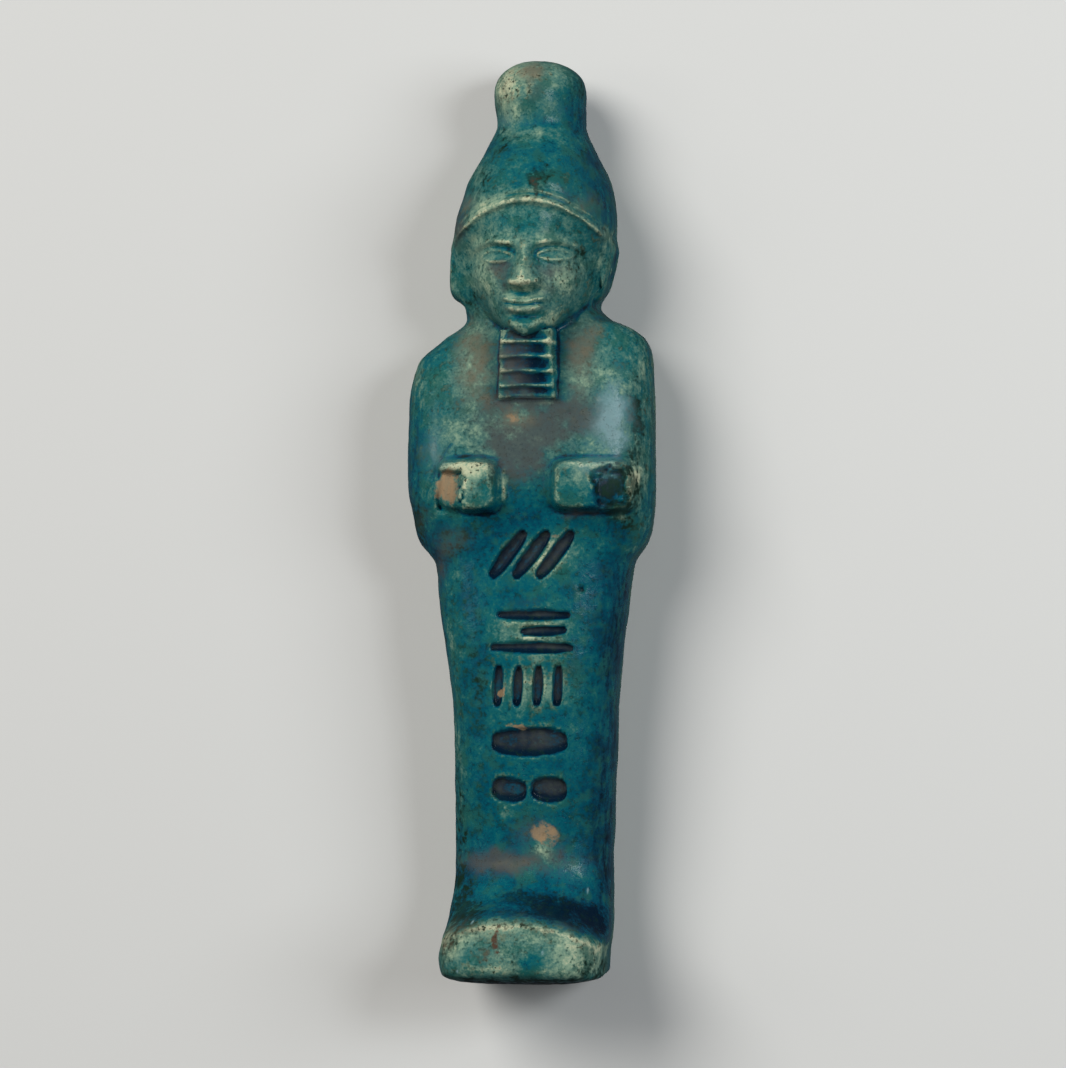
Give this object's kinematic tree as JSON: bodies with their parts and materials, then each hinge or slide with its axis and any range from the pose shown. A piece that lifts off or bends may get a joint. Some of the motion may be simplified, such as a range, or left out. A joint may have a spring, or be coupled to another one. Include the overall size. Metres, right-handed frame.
{
  "type": "mummiform figurine",
  "caption": "Small moulded faience figure of a wrapped mummy with a tall knobbed crown, a plaited beard and two fists, lying on its flat back.",
  "frame": {"origin": "under the middle of the figure as it lies, on the plane of its flat back", "axes": "+Z out of the figure's front, which is up as it lies; +Y towards the crown; +X to the figure's own left"},
  "size_m": [0.0322, 0.12, 0.0244],
  "materials": {
    "faience_glaze": "worn gloss glaze, pooled dark in the hollows and thin and pale on the ridges"
  },
  "bodies": {
    "root": {"osiris_figure": "faience_glaze"}
  },
  "joints": []
}
